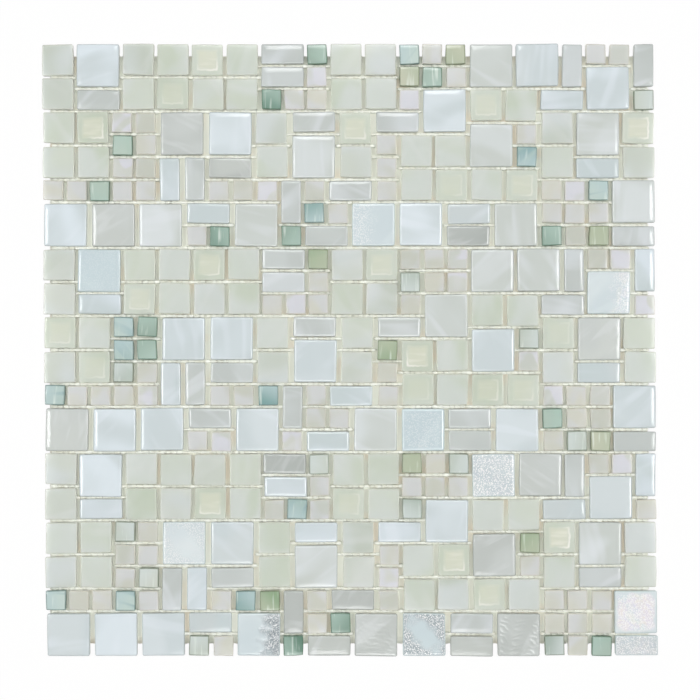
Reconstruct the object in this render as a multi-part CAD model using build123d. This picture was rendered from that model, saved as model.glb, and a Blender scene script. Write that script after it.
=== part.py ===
from build123d import *
import math
import os
import random

# A glass mosaic sheet: small glass tesserae of mixed sizes, laid face up with open joints on a
# net that is set in adhesive, to be grouted after it is fixed. It lies flat, net down, with
# +X along a course and +Y up the sheet as it would hang on a wall.

# Driving dimensions, in millimetres
sheet_pitch = 300.0        # nominal sheet, from joint to joint, so that the next sheet continues it
joint = 1.3                # open joint between courses
glass_thickness = 4.0
edge_width = 0.7           # softened edge round each face, across the face
edge_drop = 0.45           # and down the wall
corner_cut = 0.7           # rounded-off corners of all but the small squares
net_thickness = 0.5
net_inset_left = 3.0       # the net stops short of the sheet's edges
net_inset_right = 4.0
net_inset_top = 6.0
net_inset_bottom = 6.0
sheet_lean = 2.0           # how far the hand-laid courses drift to the right, top to bottom
stray_share = 0.2          # share of the joint that a hand-laid tessera strays at most
turn_share = 0.1           # share of the joint that its corners move at most as it turns
laying_seed = 7

# Width and height of each format in half-modules, joint included
FORMATS = {
    "L": (4, 4),           # large square
    "M": (3, 3),           # medium square
    "S": (2, 2),           # small square
    "B": (4, 2),           # bar, laid along the course
    "V": (2, 4),           # bar, stood on end
}
SQUARE_CORNERED = "S"

# The upright joints where blocks of tesserae begin and end, by letter: the column in half-modules,
# and the share of the width left over that lies to the left of it. The columns leave some of the
# sheet's width over, because upright joints are laid wider than the courses.
SEAMS = {
    "a": (0, 0.0),
    "b": (10, 0.1),
    "c": (14, 0.25),
    "d": (20, 0.45),
    "e": (22, 0.45),
    "f": (26, 0.55),
    "g": (28, 0.6),
    "h": (30, 0.7),
    "i": (32, 0.7),
    "j": (36, 0.75),
    "k": (42, 0.88),
    "l": (46, 0.88),
    "m": (48, 1.0),
    "n": (52, 1.0),
}

# The band of courses that repeats up the sheet, as blocks of stacks that stand side by side: the
# two seams that the block stands between and the row of its top in half-modules, then its stacks
# from left to right. A stack is read from the top down, with a slash between its tiers. The stacks
# of a block share out the width that they leave over.
BAND = [
    ("ai", 0, "M/M L/B M/M M/M M/M M/M B/B/SS S/S/S M/M M/M S/S/S"),
    ("ij", 0, "SS/SS/L"),
    ("jl", 0, "L L V"),
    ("ln", 0, "SS/L V/S"),
    ("jk", 4, "M M"),
    ("kl", 4, "B"),
    ("jk", 7, "L S/S"),
    ("ab", 6, "M/M M/M S/S/S S/S/S"),
    ("bc", 6, "L/VV"),
    ("cg", 6, "L/B M/M B/L M/M"),
    ("gi", 6, "B"),
    ("gh", 8, "S/S/S"),
    ("hj", 8, "M/M M/M"),
    ("jk", 11, "M M"),
    ("kn", 6, "M/M L/B M/M"),
    ("ab", 12, "S S S S S"),
    ("cd", 12, "S S S"),
    ("de", 12, "V/S"),
    ("eg", 12, "S B"),
    ("km", 12, "S/S/S S/S/S S/S/S"),
    ("mn", 12, "L/B"),
    ("ad", 14, "L L L B/SS L"),
    ("ef", 14, "SS/B"),
    ("fk", 14, "L L B/B L"),
]

# The glasses, and which one each tessera of a format is, in laying order, one line for each band
OPALS = {"w": "white", "p": "pearl", "s": "smoke", "d": "dewdrop"}
TRANSLUCENTS = {"c": "celadon", "i": "ivory", "w": "cream"}
TINTS = {"i": "ivory", "r": "rose", "g": "sea_green", "a": "aqua", "o": "olive", "x": "clear"}
NODES = {
    "L": ("large_squares", OPALS),
    "M": ("medium_squares", TRANSLUCENTS),
    "S": ("small_squares", TINTS),
    "B": ("bars", OPALS),
    "V": ("bars", OPALS),
}
GLASS = {
    "L": [
        "wwpwwpswpppwsppdwp",
        "dpppdwwwwswswwwpdw",
        "wwdswsdwppdwwwdsds",
    ],
    "M": [
        "iiiccwwcccccicwcccwcicwicccwcwicwi",
        "iicwccwiccicwiccwicwciciwwccwwwicc",
        "iiccciiwcccwcccccicccciiccwiwiwcic",
    ],
    "S": [
        "grgriaoriogiirxiargriiiiiiiigiiiirgiiigriiaioigai",
        "iroiiixiiririrrxraaxggioiiaiiiriiarirgiiixrioirii",
        "iaxiroixixiiirioixiiiixiriaiiaiiaogiiixiiiiigxiig",
    ],
    "B": [
        "pppwsppwppwpws",
        "wppppppwwppwpp",
        "wswwpwwpsdwsps",
    ],
    "V": [
        "ppwpp",
        "pwwpp",
        "pwpws",
    ],
}


def tier_heights(stack):
    """Height of each tier of a stack in half-modules, from the top down."""
    return [FORMATS[tier[0]][1] for tier in stack.split("/")]


def stack_width(stack):
    """Width of a stack in half-modules, without the width that it is given to spare."""
    return max(sum(FORMATS[letter][0] for letter in tier) for tier in stack.split("/"))


# The half-module is what the rows of all bands make of the sheet's height
columns = max(column for column, share in SEAMS.values())
band_rows = max(top + sum(tier_heights(stack)) for _, top, stacks in BAND for stack in stacks.split())
bands = len(GLASS["L"])
half_module = sheet_pitch / (bands * band_rows)
spare_width = sheet_pitch - columns * half_module


def side(modules):
    """Length of a tessera's side that takes up this many half-modules with its joint."""
    return modules * half_module - joint


def make_tessera(letter):
    """One tessera of a format, centred on the Z axis with its back at Z = 0."""
    across, down = FORMATS[letter]
    outline = Rectangle(side(across), side(down))
    if letter not in SQUARE_CORNERED:
        outline = chamfer(outline.vertices(), corner_cut)
    blank = extrude(outline, glass_thickness)
    face = blank.faces().sort_by(Axis.Z)[-1]
    return chamfer(face.edges(), edge_width, edge_drop, reference=face)


def seam_place(letter):
    """Distance of a seam from the sheet's left edge."""
    column, share = SEAMS[letter]
    return column * half_module + share * spare_width


def lay_block(seams, top, stacks):
    """Yield each tessera of a block: its letter, and its centre from the left and top of the band."""
    names = stacks.split()
    edge, end = (seam_place(letter) for letter in seams)
    left_over = end - edge - half_module * sum(stack_width(name) for name in names)
    for name in names:
        cell = half_module * stack_width(name) + left_over / len(names)
        row = top
        for height, tier in zip(tier_heights(name), name.split("/")):
            share = cell / len(tier)
            for place, letter in enumerate(tier):
                yield letter, edge + share * (place + 1 / 2), half_module * (row + height / 2)
            row += height
        edge += cell


def lay_sheet():
    """Lay every tessera on the net, by node, strayed and turned a little as a hand leaves it."""
    hand = random.Random(laying_seed)
    masters = {letter: make_tessera(letter) for letter in FORMATS}
    stray = stray_share * joint
    swing = turn_share * joint
    nodes = {}
    for band in range(bands):
        glasses = {letter: iter(lines[band]) for letter, lines in GLASS.items()}
        for block in BAND:
            for letter, across, down in lay_block(*block):
                name, kinds = NODES[letter]
                node = f"{name}_{kinds[next(glasses[letter])]}"
                down += band * band_rows * half_module
                lean = sheet_lean * (down / sheet_pitch - 1 / 2)
                x = across - sheet_pitch / 2 + lean + hand.uniform(-stray, stray)
                y = sheet_pitch / 2 - down + hand.uniform(-stray, stray)
                most = math.degrees(swing / (side(max(FORMATS[letter])) / 2))
                turn = Rot(0, 0, hand.uniform(-most, most))
                laid = Pos(x, y, net_thickness) * turn * masters[letter]
                nodes.setdefault(node, []).append(laid.solid())
    return nodes


def make_net():
    """The backing: a net set in a film of adhesive, which closes its meshes."""
    left = net_inset_left - sheet_pitch / 2
    right = sheet_pitch / 2 - net_inset_right
    bottom = net_inset_bottom - sheet_pitch / 2
    top = sheet_pitch / 2 - net_inset_top
    outline = Pos((left + right) / 2, (bottom + top) / 2) * Rectangle(right - left, top - bottom)
    return extrude(outline, net_thickness).solid()


def main():
    """Build the sheet, set its outline's centre on the Z axis and write one file for each node."""
    nodes = lay_sheet()
    nodes["backing_net"] = [make_net()]
    outline = Compound([piece for pieces in nodes.values() for piece in pieces]).bounding_box()
    centring = Pos(-outline.center().X, -outline.center().Y, 0)
    os.makedirs("parts", exist_ok=True)
    for name, pieces in nodes.items():
        export_step(Compound([centring * piece for piece in pieces]), f"parts/{name}.step")
        print(name, len(pieces))


main()
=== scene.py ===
"""Looks of a mesh-mounted glass mosaic sheet: glass tesserae in four formats, laid on a net in adhesive."""

import logging
import math
from dataclasses import dataclass, field, replace
from enum import Enum
from functools import cache
from itertools import cycle

import bpy
import numpy as np
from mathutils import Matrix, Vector


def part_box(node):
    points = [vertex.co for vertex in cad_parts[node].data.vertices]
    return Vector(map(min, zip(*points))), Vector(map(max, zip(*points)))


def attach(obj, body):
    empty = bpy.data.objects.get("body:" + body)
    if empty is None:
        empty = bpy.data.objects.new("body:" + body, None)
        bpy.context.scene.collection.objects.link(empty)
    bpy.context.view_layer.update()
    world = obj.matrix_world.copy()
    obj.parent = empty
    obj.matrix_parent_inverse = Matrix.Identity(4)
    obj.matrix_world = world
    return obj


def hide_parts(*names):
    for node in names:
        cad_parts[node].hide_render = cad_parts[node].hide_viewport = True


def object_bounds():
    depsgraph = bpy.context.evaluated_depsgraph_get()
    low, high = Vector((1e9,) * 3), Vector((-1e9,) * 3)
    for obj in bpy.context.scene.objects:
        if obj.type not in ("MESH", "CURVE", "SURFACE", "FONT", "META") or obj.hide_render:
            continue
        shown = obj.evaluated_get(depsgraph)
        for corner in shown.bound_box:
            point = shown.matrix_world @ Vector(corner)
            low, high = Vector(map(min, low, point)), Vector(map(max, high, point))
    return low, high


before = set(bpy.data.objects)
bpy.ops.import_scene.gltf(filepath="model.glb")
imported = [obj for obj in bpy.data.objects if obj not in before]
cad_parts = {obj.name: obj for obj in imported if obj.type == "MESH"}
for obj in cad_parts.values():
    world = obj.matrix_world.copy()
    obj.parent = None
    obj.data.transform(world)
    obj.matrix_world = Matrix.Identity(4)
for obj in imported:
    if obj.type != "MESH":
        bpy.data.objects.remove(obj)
cad_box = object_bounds()

log = logging.getLogger("mosaic_sheet")

MM = 0.001
BODY = "root"
MELT_MM = 900.0       # how far apart the tesserae lie in the melts that they were cut from
ROW_MM = 8.0          # tesserae this close in height are read as one row
LEVEL_MM = 0.01       # corners this close in height lie in one face

Colour = tuple[float, float, float, float]
Hand = np.random.Generator
Material = bpy.types.Material
Node = bpy.types.Node
Piece = bpy.types.Object
Socket = bpy.types.NodeSocket
Tree = bpy.types.NodeTree
Layers = list[tuple[Node | Socket, str]]     # shares from 0 to 1, each with its colour, from the lowest up


def linear(code: str) -> Colour:
    """Turn an sRGB hex colour into linear light.

    Args:
        code: the colour as a hash sign and six hex digits.

    Returns:
        Linear red, green and blue, and an alpha of one.
    """
    parts = [int(code[start:start + 2], 16) / 255 for start in (1, 3, 5)]
    red, green, blue = [p / 12.92 if p <= 0.04045 else ((p + 0.055) / 1.055) ** 2.4 for p in parts]
    return red, green, blue, 1.0


def add_node(tree: Tree, kind: str, inputs: dict | None = None, **settings) -> Node:
    """Add a shader node with its settings and links.

    Args:
        tree: the node tree to add to.
        kind: the node's type name after "ShaderNode".
        inputs: for each input by name or number, a value, or the socket or the node to link from.
        settings: the node's own properties.

    Returns:
        The new node. Linked from as a whole, it gives the first output that its settings leave in use.
    """
    node = tree.nodes.new(f"ShaderNode{kind}")
    for name, value in settings.items():
        setattr(node, name, value)
    for key, value in (inputs or {}).items():
        if isinstance(value, Node):
            value = next(output for output in value.outputs if output.enabled)
        if isinstance(value, Socket):
            tree.links.new(value, node.inputs[key])
        else:
            node.inputs[key].default_value = value
    return node


def new_material(name: str) -> tuple[Material, Tree]:
    """Start an empty node material.

    Args:
        name: what the surface is made of and how.

    Returns:
        The material and its node tree, without nodes.
    """
    material = bpy.data.materials.new(name)
    material.use_nodes = True
    material.node_tree.nodes.clear()
    return material, material.node_tree


def patches(tree: Tree, place: Node | Socket, sizes: tuple[float, ...], levels: tuple[float, float],
            most: float = 1.0, detail: float = 1.0, curl: float = 0.0, run: str = "LINEAR") -> Node:
    """Make patches from a noise, read off between two of its levels.

    Args:
        tree: the material's node tree.
        place: where each point lies.
        sizes: of the patches along X, Y and Z, in the unit of the place.
        levels: of the noise, where a patch begins and where it is full.
        most: the share in a full patch.
        detail: how many finer noises are added.
        curl: how far the patches are twisted.
        run: how the share rises from nothing to its most.

    Returns:
        The share of the patch at each point.
    """
    scales = tuple(1 / size for size in sizes)
    scaled = add_node(tree, "VectorMath", {0: place, 1: scales}, operation="MULTIPLY")
    noise = add_node(tree, "TexNoise", {"Vector": scaled, "Scale": 1.0, "Detail": detail, "Distortion": curl})
    begin, full = levels
    return add_node(tree, "MapRange", {0: noise, 1: begin, 2: full, 3: 0.0, 4: most}, interpolation_type=run)


def paint(tree: Tree, ground: str, layers: Layers) -> Node:
    """Lay colours over each other.

    Args:
        tree: the material's node tree.
        ground: the colour below them all.
        layers: the colours to lay.

    Returns:
        The colour of the surface.
    """
    colour = linear(ground)
    for share, tone in layers:
        colour = add_node(tree, "Mix", {0: share, 6: colour, 7: linear(tone)}, data_type="RGBA")
    return colour


@dataclass(frozen=True)
class SurfaceFields:
    """The sockets that a glass finish paints with: where a point lies, and three draws of its tessera."""

    face: Socket      # millimetres from the middle of the tessera's back
    place: Socket     # the same, moved to another part of the melt for each tessera
    inset: Socket     # millimetres in from the outline on the face, and negative below the rim on the wall
    tone: Socket      # from 0 to 1, the tone of the tessera's melt
    drawn: Socket     # from 0 to 1, which way its melt was drawn, or its window's line is lit from
    lit: Socket       # from 0 to 1, how its back is lit

    @classmethod
    def on(cls, tree: Tree) -> "SurfaceFields":
        """Read the fields from the mesh's attributes.

        Args:
            tree: the material's node tree.

        Returns:
            The sockets to paint with.
        """
        face = add_node(tree, "Attribute", attribute_name="face_mm").outputs["Vector"]
        inset = add_node(tree, "Attribute", attribute_name="inset_mm").outputs["Fac"]
        lot = add_node(tree, "Attribute", attribute_name="lot").outputs["Vector"]
        apart = add_node(tree, "VectorMath", {0: lot, 1: (MELT_MM,) * 3}, operation="MULTIPLY")
        place = add_node(tree, "VectorMath", {0: face, 1: apart}, operation="ADD").outputs[0]
        return cls(face, place, inset, *add_node(tree, "SeparateXYZ", {0: lot}).outputs)


@dataclass(frozen=True)
class GlassFinish:
    """Opal glass, rolled in a cloudy melt and fire-polished after cutting.

    The melt gives it soft clouds and drawn-out streaks a few millimetres wide, the fire-polish gives it
    an even gloss with a faint ripple, the rim round the face is painted darker as shade, and the sawn walls
    stay pale and dull.
    """

    name: str
    slot: str
    body: str
    cloud: str
    streak: str
    lot_end: str              # what the body's colour runs to from lot to lot
    # the tone of the painted shade on the rim round the face
    rim: str
    wall: str
    cloud_share: float = 1.0
    streak_share: float = 0.4
    lot_share: float = 1.0
    rim_shade_share: float = 0.7
    cloud_mm: float = 30.0    # wider than a tessera, so that it shows as a change of tone across the face
    cloud_edge: float = 0.24  # how softly one tone runs into the other
    cloud_curl: float = 0.6
    streak_mm: float = 7.0
    streak_length_mm: float = 40.0
    streak_curl: float = 0.5
    streak_levels: tuple[float, float] = (0.5, 0.75)    # of its noise, where a streak begins and is full
    rim_shade_mm: float = 0.8
    wall_levels: tuple[float, float] = (-0.1, -0.9)     # of the inset, where the sawn wall begins and is full
    ripple_mm: float = 4.0
    ripple_height_mm: float = 0.02
    roughness: float = 0.1
    wall_roughness: float = 0.45
    ior: float = 1.5
    milk: float = 0.0         # share of the light that wanders in the glass before it leaves
    milk_mm: float = 2.0      # and how far it gets

    def melt(self, tree: Tree, fields: SurfaceFields) -> Layers:
        """Paint the melt: the lot's own tone, clouds and streaks.

        Args:
            tree: the material's node tree.
            fields: where each point lies.

        Returns:
            The layers over the body's colour, without the rim and the wall.
        """
        lot = add_node(tree, "Math", {0: fields.tone, 1: self.lot_share}, operation="MULTIPLY")
        levels = (0.5 - self.cloud_edge / 2, 0.5 + self.cloud_edge / 2)
        cloud = patches(tree, fields.place, (self.cloud_mm,) * 3, levels, self.cloud_share,
                        curl=self.cloud_curl, run="SMOOTHSTEP")
        angle = add_node(tree, "Math", {0: fields.drawn, 1: math.pi}, operation="MULTIPLY")
        turned = add_node(tree, "VectorRotate", {0: fields.place, "Angle": angle}, rotation_type="Z_AXIS")
        streak = patches(tree, turned, (self.streak_mm, self.streak_length_mm, 1.0), self.streak_levels,
                         self.streak_share, curl=self.streak_curl, run="SMOOTHSTEP")
        return [(lot, self.lot_end), (cloud, self.cloud), (streak, self.streak)]

    def edge(self, tree: Tree, fields: SurfaceFields) -> Layers:
        """Paint the painted shade on the rim round the face, and the wall below it.

        Args:
            tree: the material's node tree.
            fields: where each point lies.

        Returns:
            The layers over the melt.
        """
        # Painted shade: the face darkens towards its outline, where the rim rounds down into the joint
        rim = add_node(tree, "MapRange", {0: fields.inset, 1: 0.0, 2: self.rim_shade_mm, 3: self.rim_shade_share, 4: 0.0},
                       interpolation_type="SMOOTHSTEP")
        begin, full = self.wall_levels
        wall = add_node(tree, "MapRange", {0: fields.inset, 1: begin, 2: full, 3: 0.0, 4: 1.0},
                        interpolation_type="SMOOTHSTEP")
        return [(rim, self.rim), (wall, self.wall)]

    @cache
    def material(self) -> Material:
        """Make the finish's material, once."""
        material, tree = new_material(self.name)
        fields = SurfaceFields.on(tree)
        colour = paint(tree, self.body, self.melt(tree, fields) + self.edge(tree, fields))
        ripple = add_node(tree, "TexNoise", {0: fields.place, "Scale": 1 / self.ripple_mm, "Detail": 1.0})
        bump = add_node(tree, "Bump", {"Height": ripple, "Distance": self.ripple_height_mm * MM,
                                       "Strength": 1.0})
        begin, full = self.wall_levels
        dull = add_node(tree, "MapRange", {0: fields.inset, 1: begin, 2: full, 3: self.roughness,
                                           4: self.wall_roughness})
        shader = add_node(tree, "BsdfPrincipled", {
            "Base Color": colour, "Roughness": dull, "Normal": bump, "IOR": self.ior,
            "Subsurface Weight": self.milk, "Subsurface Radius": (1.0, 1.0, 1.0),
            "Subsurface Scale": self.milk_mm * MM})
        add_node(tree, "OutputMaterial", {0: shader})
        return material


@dataclass(frozen=True)
class WindowGlass(GlassFinish):
    """Translucent opal glass, pressed on a ribbed plate.

    The pressed panel of the back shows through the milky glass as a lighter square window with faint ribs,
    and with a painted highlight, a bright line at its border on the side that the light comes back from.
    """

    window: str = "#e3e4d2"
    # the tone of the painted highlight along the window's border, which the ribs share
    line: str = "#fcfbf2"
    window_half_mm: float = 5.6
    window_share: float = 0.75
    window_least: float = 0.25    # share of that in the faintest window
    window_soft_mm: float = 2.2
    corner_mm: float = 1.0
    wander_mm: float = 4.0        # waves of the window's border, from one to the next
    wander_reach_mm: float = 1.6
    line_mm: float = 0.8
    line_least: float = 0.1       # how bright the line is on the side away from the light
    lit_turn: float = 0.75        # of half a turn, from right to left by way of the bottom, for the lit side
    rib_mm: float = 2.2
    rib_length_mm: float = 12.0
    rib_share: float = 0.5
    rib_levels: tuple[float, float] = (0.5, 0.72)

    def reach(self, tree: Tree, fields: SurfaceFields) -> Node:
        """Measure how far a point lies from the window's middle.

        Args:
            tree: the material's node tree.
            fields: where each point lies.

        Returns:
            The larger of the distances across and up, with a wavering border and rounded corners.
        """
        wander = add_node(tree, "TexNoise", {0: fields.place, "Scale": 1 / self.wander_mm, "Detail": 2.0})
        noise = wander.outputs["Color"]
        shift = add_node(tree, "VectorMath", {0: noise, 1: (0.5,) * 3}, operation="SUBTRACT")
        waver = (self.wander_reach_mm, self.wander_reach_mm, 0.0)
        moved = add_node(tree, "VectorMath", {0: shift, 1: waver, 2: fields.face}, operation="MULTIPLY_ADD")
        away = add_node(tree, "VectorMath", {0: moved}, operation="ABSOLUTE")
        across, up, _ = add_node(tree, "SeparateXYZ", {0: away}).outputs
        return add_node(tree, "Math", {0: across, 1: up, 2: self.corner_mm}, operation="SMOOTH_MAX")

    def line_light(self, tree: Tree, fields: SurfaceFields, reach: Node) -> Node:
        """Paint the highlight line at the window's border.

        Args:
            tree: the material's node tree.
            fields: where each point lies.
            reach: how far it lies from the window's middle.

        Returns:
            How bright the line is, from 0 to 1.
        """
        away = add_node(tree, "Math", {0: reach, 1: self.window_half_mm - self.line_mm}, operation="SUBTRACT")
        near = add_node(tree, "Math", {0: away}, operation="ABSOLUTE")
        border = add_node(tree, "MapRange", {0: near, 1: self.line_mm, 2: 0.0, 3: 0.0, 4: 1.0},
                          interpolation_type="SMOOTHSTEP")
        heading = add_node(tree, "Math", {0: fields.drawn, 1: math.pi * self.lit_turn}, operation="MULTIPLY")
        turned = add_node(tree, "VectorRotate", {0: fields.face, "Angle": heading}, rotation_type="Z_AXIS")
        ahead = add_node(tree, "SeparateXYZ", {0: turned}).outputs[0]
        lit = add_node(tree, "MapRange", {0: ahead, 1: 0.0, 2: self.window_half_mm, 3: self.line_least,
                                          4: 1.0})
        return add_node(tree, "Math", {0: border, 1: lit}, operation="MULTIPLY")

    def melt(self, tree: Tree, fields: SurfaceFields) -> Layers:
        """Paint the melt with the pressed window in it.

        Args:
            tree: the material's node tree.
            fields: where each point lies.

        Returns:
            The layers over the body's colour, without the rim and the wall.
        """
        reach = self.reach(tree, fields)
        strong = add_node(tree, "MapRange", {0: fields.lit, 3: self.window_least, 4: 1.0})
        most = add_node(tree, "Math", {0: strong, 1: self.window_share}, operation="MULTIPLY")
        inside = self.window_half_mm - self.window_soft_mm
        pane = add_node(tree, "MapRange", {0: reach, 1: self.window_half_mm, 2: inside, 3: 0.0, 4: most},
                        interpolation_type="SMOOTHSTEP")
        sizes = (self.rib_length_mm, self.rib_mm, 1.0)
        rib = patches(tree, fields.place, sizes, self.rib_levels, self.rib_share)
        ribbed = add_node(tree, "Math", {0: rib, 1: pane}, operation="MULTIPLY")
        # Painted highlight: a bright line at the window's border, strongest on its lit side
        lined = self.line_light(tree, fields, reach)
        shine = add_node(tree, "Math", {0: ribbed, 1: lined}, operation="MAXIMUM")
        bright = add_node(tree, "Math", {0: shine, 1: strong}, operation="MULTIPLY")
        return super().melt(tree, fields) + [(pane, self.window), (bright, self.line)]


@dataclass(frozen=True)
class TransparentGlass(GlassFinish):
    """Transparent coloured glass, cut from a drawn sheet, with a pale coat on its back.

    The light that comes back from the coat is painted on, as a face lighter on one side than on the other,
    the cut edges are deep in colour, partly their own and partly painted shade, and cords in the melt show as
    brighter strokes.
    """

    cloud_share: float = 0.45
    lot_share: float = 1.3
    rim_shade_share: float = 1.0
    # the tone of the painted light on the lit side of the face
    glow: str = "#cfe3d6"
    cord: str = "#eef6ee"
    glow_share: float = 0.8
    glow_half_mm: float = 5.0
    cord_mm: float = 1.6
    cord_length_mm: float = 14.0
    cord_share: float = 0.5
    cord_levels: tuple[float, float] = (0.6, 0.75)

    def melt(self, tree: Tree, fields: SurfaceFields) -> Layers:
        """Paint the melt with painted light from its coated back.

        Args:
            tree: the material's node tree.
            fields: where each point lies.

        Returns:
            The layers over the body's colour, without the rim and the wall.
        """
        # Painted light: the face is painted lighter towards one side, turned by the tessera's draw, for the
        # light that its coat sends back
        angle = add_node(tree, "Math", {0: fields.lit, 1: 2 * math.pi}, operation="MULTIPLY")
        turned = add_node(tree, "VectorRotate", {0: fields.face, "Angle": angle}, rotation_type="Z_AXIS")
        across = add_node(tree, "SeparateXYZ", {0: turned}).outputs[0]
        glow = add_node(tree, "MapRange", {0: across, 1: -self.glow_half_mm, 2: self.glow_half_mm, 3: 0.0,
                                           4: self.glow_share}, interpolation_type="SMOOTHSTEP")
        sizes = (self.cord_mm, self.cord_length_mm, 1.0)
        cord = patches(tree, fields.place, sizes, self.cord_levels, self.cord_share)
        return super().melt(tree, fields) + [(glow, self.glow), (cord, self.cord)]


@dataclass(frozen=True)
class DewdropGlass(GlassFinish):
    """Opal glass, rolled on a grained roller and iridised while hot.

    Each drop of its grain catches the light, and a bright glint is painted on each drop as well. The metal
    film under the drops greys the glass like silver where it is thin, and turns it to pale rose, lemon and
    lilac where it is thicker.
    """

    silver: str = "#848d92"
    # the tone of the painted glints
    bright: str = "#fbfbfa"
    # The film's colours, each with the curl that sets its patches apart from the others
    tints: tuple[tuple[str, float], ...] = (("#f3e2ea", 0.0), ("#f6eddd", 1.7), ("#dcd8ee", 2.9))
    film_mm: float = 9.0
    film_levels: tuple[float, float] = (0.46, 0.62)
    drop_mm: float = 0.66
    drop_levels: tuple[float, float] = (0.52, 0.3)      # distances in drops where a glint begins and is full

    def melt(self, tree: Tree, fields: SurfaceFields) -> Layers:
        """Paint the melt, with the film and the painted glints of the drops where it is grained.

        Args:
            tree: the material's node tree.
            fields: where each point lies.

        Returns:
            The layers over the body's colour, without the rim and the wall.
        """
        grain = add_node(tree, "Attribute", attribute_name="grain").outputs["Vector"]
        sparkle, silver, film = add_node(tree, "SeparateXYZ", {0: grain}).outputs
        layers = super().melt(tree, fields) + [(silver, self.silver)]
        for tint, curl in self.tints:
            patch = patches(tree, fields.place, (self.film_mm,) * 3, self.film_levels, detail=3.0, curl=curl)
            layers.append((add_node(tree, "Math", {0: patch, 1: film}, operation="MULTIPLY"), tint))
        # Painted highlight: a glint in the middle of each drop, as strong as the grain's sparkle
        drops = add_node(tree, "TexVoronoi", {0: fields.place, "Scale": 1 / self.drop_mm}).outputs["Distance"]
        begin, full = self.drop_levels
        lit = add_node(tree, "MapRange", {0: drops, 1: begin, 2: full, 3: 0.0, 4: 1.0})
        glint = add_node(tree, "Math", {0: lit, 1: sparkle}, operation="MULTIPLY")
        return layers + [(glint, self.bright)]


# The opals are dense, so the eye sees only their polished surface: sky blue with faint clouds in the white,
# greener and greyer in the pearl, and a darker grey with thin pale streaks and a livelier ripple in the smoke
# Their rims are painted darker than their bodies, as painted shade
WHITE_OPAL = GlassFinish(
    "white_opal_glass_fire_polished_and_iridised", "white_opal_glass", body="#e2ecf2", cloud="#cdd7d9",
    streak="#e8eff5", lot_end="#d0d8d8", rim="#bcc4c4", wall="#f2f5f3", roughness=0.12)
PEARL_OPAL = GlassFinish(
    "pearl_opal_glass_fire_polished_and_iridised", "pearl_opal_glass", body="#dde3e4", cloud="#cad0cb",
    streak="#e6eaee", lot_end="#ced4d0", rim="#b9bebb", wall="#f2f3ee", roughness=0.12)
SMOKE_OPAL = GlassFinish(
    "smoke_opal_glass_fire_polished_and_iridised", "smoke_opal_glass", body="#b1b6b3", cloud="#cacfcc",
    streak="#dadedd", lot_end="#d3d8d3", rim="#a9ada9", wall="#f0f0ea", streak_mm=4.0, streak_length_mm=20.0,
    streak_share=0.5, ripple_mm=2.0, ripple_height_mm=0.05, roughness=0.12)
# A pale blue opal with fainter clouds, under its grain and its metal film
DEWDROP_OPAL = DewdropGlass(
    "dewdrop_opal_glass_rolled_and_iridised", "dewdrop_opal_glass", body="#c6d6da", cloud="#c4d2d7",
    streak="#dee9ea", lot_end="#e2e9ea", rim="#c2d0d0", wall="#f2f5f3", cloud_share=0.4, roughness=0.12)

# The bars are cut from slightly darker sheets of the same opals
WHITE_BARS = replace(WHITE_OPAL, name="white_opal_bars_fire_polished_and_iridised",
                     body="#dae4ea", cloud="#c8d3d4", lot_end="#cad2d2")
PEARL_BARS = replace(PEARL_OPAL, name="pearl_opal_bars_fire_polished_and_iridised",
                     body="#d1d7d8", cloud="#c1c7c4", lot_end="#c6ccc8")
SMOKE_BARS = replace(SMOKE_OPAL, name="smoke_opal_bars_fire_polished_and_iridised",
                     body="#a6aca8", cloud="#b9beba", streak="#d2d6d5", lot_end="#c5cac5")

# The opalines let light wander millimetres deep before it leaves, so that their faces look soft and their
# edges melt into the joints. Celadon is the greenest, ivory is greyer, and rose has sharper, lilac clouds
# Their rims carry painted shade in a warmer tone
CELADON = GlassFinish(
    "celadon_opaline_glass_pressed", "celadon_glass", body="#c9d2c2", cloud="#d6dcd6", streak="#e4e7e4",
    lot_end="#d6dcd1", rim="#cbd0bf", wall="#f6f8f2", streak_share=0.3, streak_mm=9.0, rim_shade_mm=0.9,
    roughness=0.2, milk=1.0, milk_mm=5.0)
IVORY = GlassFinish(
    "ivory_opaline_glass_pressed", "ivory_glass", body="#c8cfc5", cloud="#d7dddb", streak="#e3e6e4",
    lot_end="#d6dbd3", rim="#cacdbf", wall="#f6f8f2", streak_share=0.35, streak_mm=9.0, rim_shade_mm=0.9,
    roughness=0.2, milk=1.0, milk_mm=5.0)
SMALL_IVORY = replace(IVORY, name="ivory_opaline_glass_cut_small", body="#cacdc3", cloud="#d7d9d8",
                      streak="#e2e3e1", lot_end="#d7d7cc", rim="#c8c3b2", cloud_mm=18.0)
CREAM = WindowGlass(
    "cream_opaline_glass_pressed_on_a_ribbed_plate", "cream_glass", body="#cad2c2", cloud="#d3dace",
    streak="#dfe3d8", lot_end="#d3dacc", rim="#cad0be", wall="#f6f8f2", streak_share=0.2, rim_shade_mm=0.9,
    roughness=0.18, milk=1.0, milk_mm=5.0)
ROSE = GlassFinish(
    "rose_opaline_glass_pressed", "rose_glass", body="#ccd0c9", cloud="#dcdde3", streak="#e8e8eb",
    lot_end="#d6d8d2", rim="#cbc5b8", wall="#f6f7f2", cloud_mm=16.0, cloud_edge=0.12, streak_share=0.3,
    roughness=0.2, milk=1.0, milk_mm=5.0)

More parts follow.
